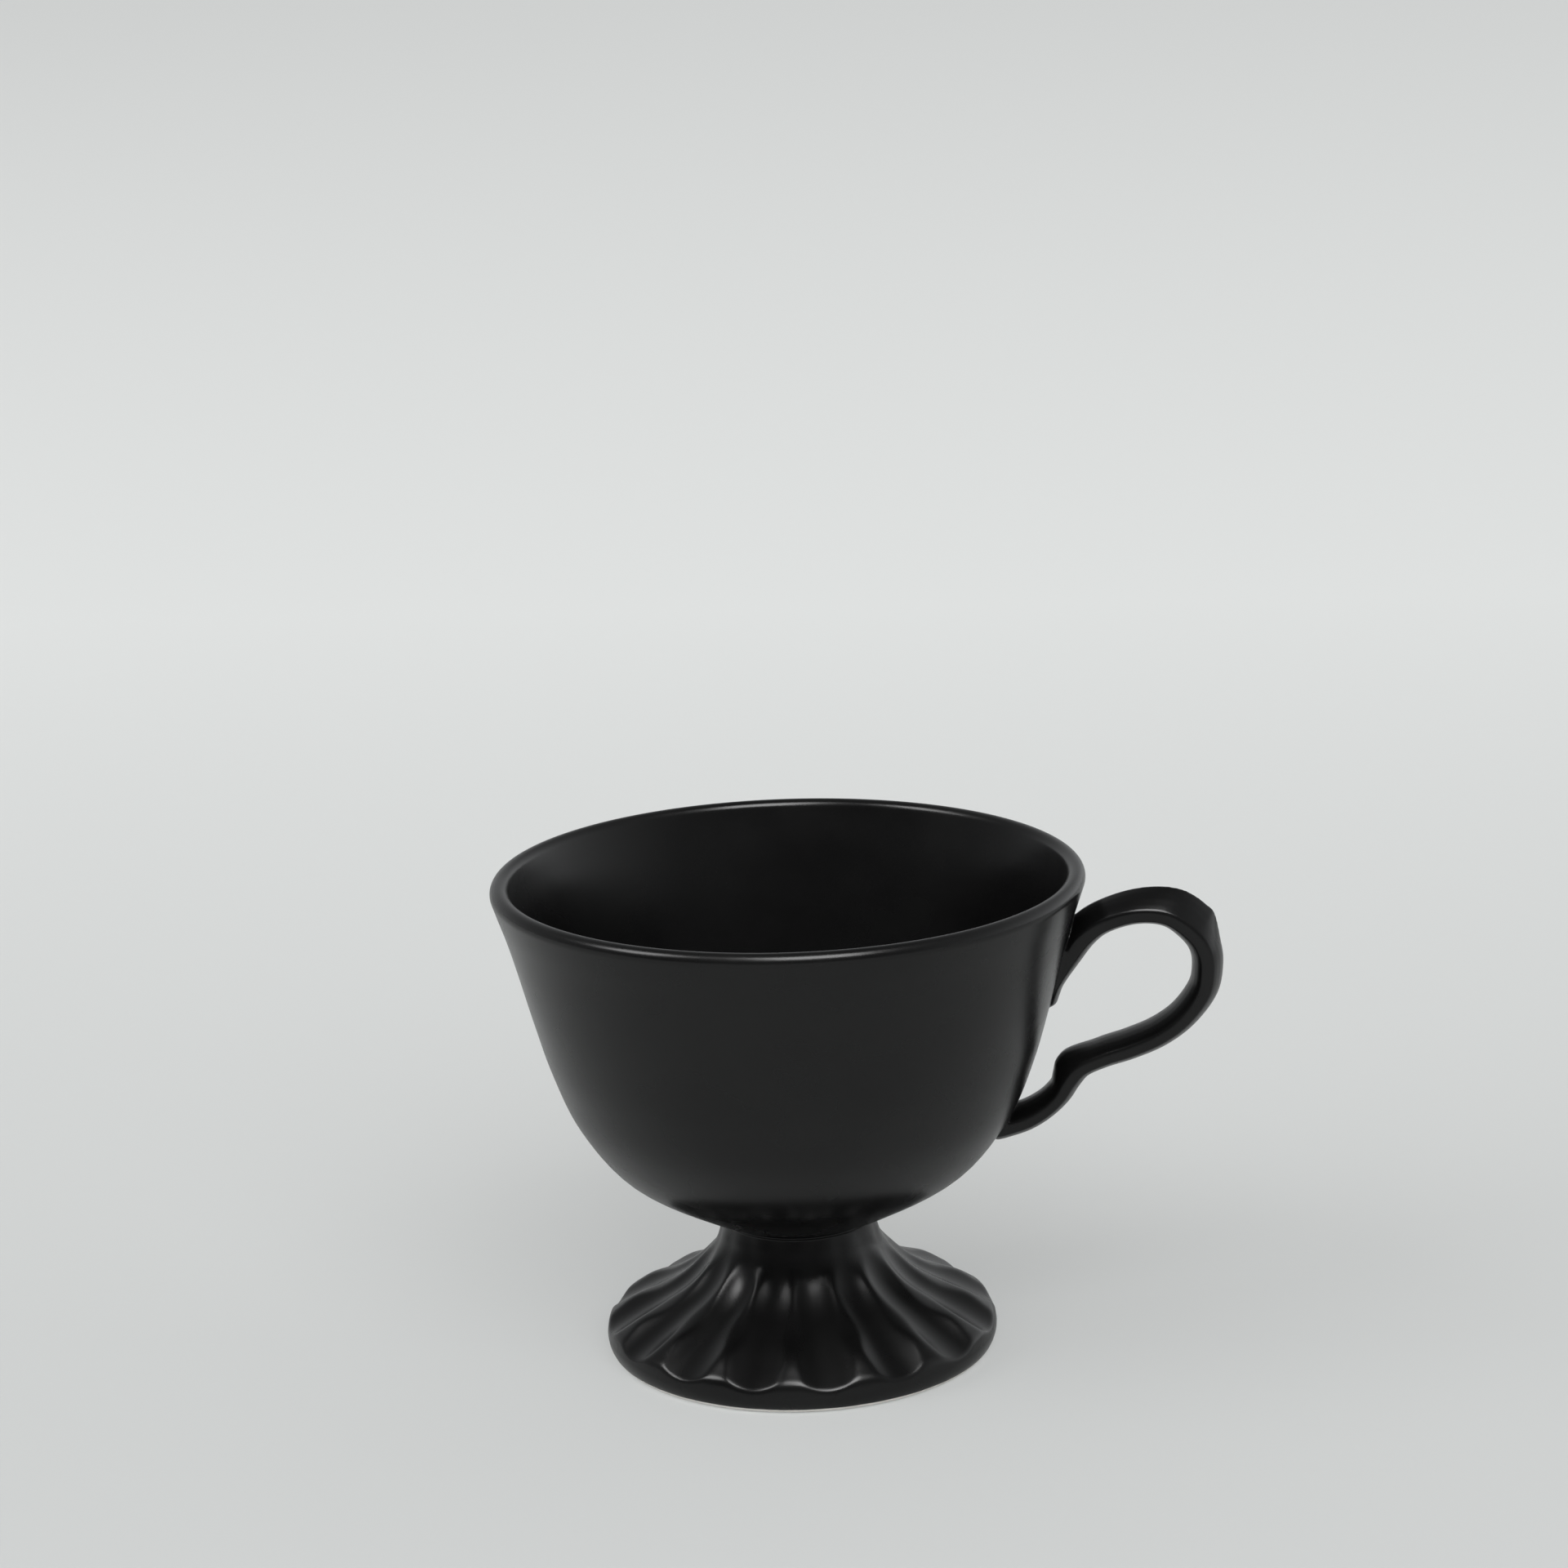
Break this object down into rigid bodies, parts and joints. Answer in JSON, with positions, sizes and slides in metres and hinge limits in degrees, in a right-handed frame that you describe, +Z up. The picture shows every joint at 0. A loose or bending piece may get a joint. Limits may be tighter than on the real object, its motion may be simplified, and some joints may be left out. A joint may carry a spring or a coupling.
{
  "type": "footed cup",
  "caption": "Glazed ceramic footed cup with a flared bowl, a fluted trumpet-shaped pedestal foot and a scrolled one-finger strap handle.",
  "frame": {"origin": "on the table, in the middle of the ring that the foot stands on", "axes": "+Z up through the middle of the bowl, +X towards the handle, +Y to the left when looking along +X"},
  "size_m": [0.1168, 0.0952, 0.08],
  "materials": {
    "glaze": "satin black glaze",
    "seam_slip": "satin black glaze over clay slip"
  },
  "bodies": {
    "root": {"bowl": "glaze", "pedestal_foot": "glaze", "handle": "glaze", "foot_seam": "seam_slip", "upper_handle_seam": "seam_slip", "lower_handle_seam": "seam_slip"}
  },
  "joints": []
}
